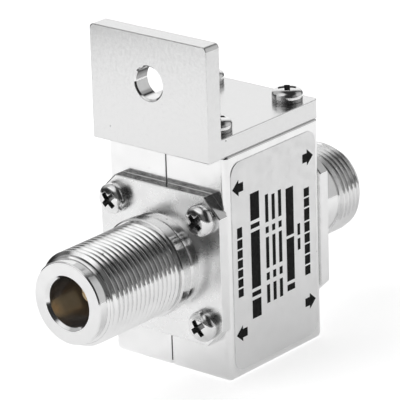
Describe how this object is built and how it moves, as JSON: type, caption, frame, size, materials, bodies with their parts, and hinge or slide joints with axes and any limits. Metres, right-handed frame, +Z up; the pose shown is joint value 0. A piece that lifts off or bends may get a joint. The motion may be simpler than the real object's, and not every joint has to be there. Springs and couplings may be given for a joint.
{
  "type": "coaxial surge arrestor",
  "caption": "Rectangular metal housing with a threaded coaxial jack on each end and an angle bracket on top; it diverts surges on an antenna line to ground.",
  "frame": {"origin": "centre of the mounting hole in the front face of the bracket's upright leg", "axes": "+Z up, +Y along the line from the antenna jack to the equipment jack, +X out of the label face"},
  "size_m": [0.0252, 0.0679, 0.0582],
  "materials": {
    "housing_plate": "satin nickel plate",
    "bracket_plate": "satin nickel plate",
    "jack_plate": "bright nickel plate",
    "label_foil": "matt foil with dark print areas",
    "seam_rubber": "thin black sheet",
    "ring_rubber": "black cord",
    "bead": "off-white insulator",
    "contact_gold": "gold plated",
    "screw_steel": "polished stainless steel",
    "washer_steel": "plain stainless steel",
    "line_copper": "bare copper",
    "capacitor_silver": "silver plated",
    "capacitor_ceramic": "brown glazed ceramic",
    "electrode": "tinned",
    "tube_ceramic": "white glazed ceramic",
    "spring_bronze": "spring bronze",
    "ground_brass": "bare brass",
    "resistor_body": "glazed"
  },
  "bodies": {
    "root": {"housing_case": "housing_plate", "housing_cover": "housing_plate", "seam_seal": "seam_rubber", "label": "label_foil", "antenna_jack_shell": "jack_plate", "antenna_jack_bead": "bead", "antenna_centre_contact": "contact_gold", "antenna_flange_seal": "ring_rubber", "antenna_flange_screws": "screw_steel", "antenna_flange_washers": "washer_steel", "equipment_jack_shell": "jack_plate", "equipment_jack_bead": "bead", "equipment_centre_contact": "contact_gold", "equipment_flange_seal": "ring_rubber", "equipment_flange_screws": "screw_steel", "mounting_bracket": "bracket_plate", "bracket_screws": "screw_steel", "bracket_washers": "washer_steel", "antenna_line_bar": "line_copper", "equipment_line_bar": "line_copper", "antenna_capacitor_plate": "capacitor_silver", "capacitor_disc": "capacitor_ceramic", "equipment_capacitor_plate": "capacitor_silver", "tube_line_electrode": "electrode", "tube_ceramic": "tube_ceramic", "tube_ground_electrode": "electrode", "tube_spring": "spring_bronze", "ground_seat": "ground_brass", "drain_resistor": "resistor_body"}
  },
  "joints": []
}
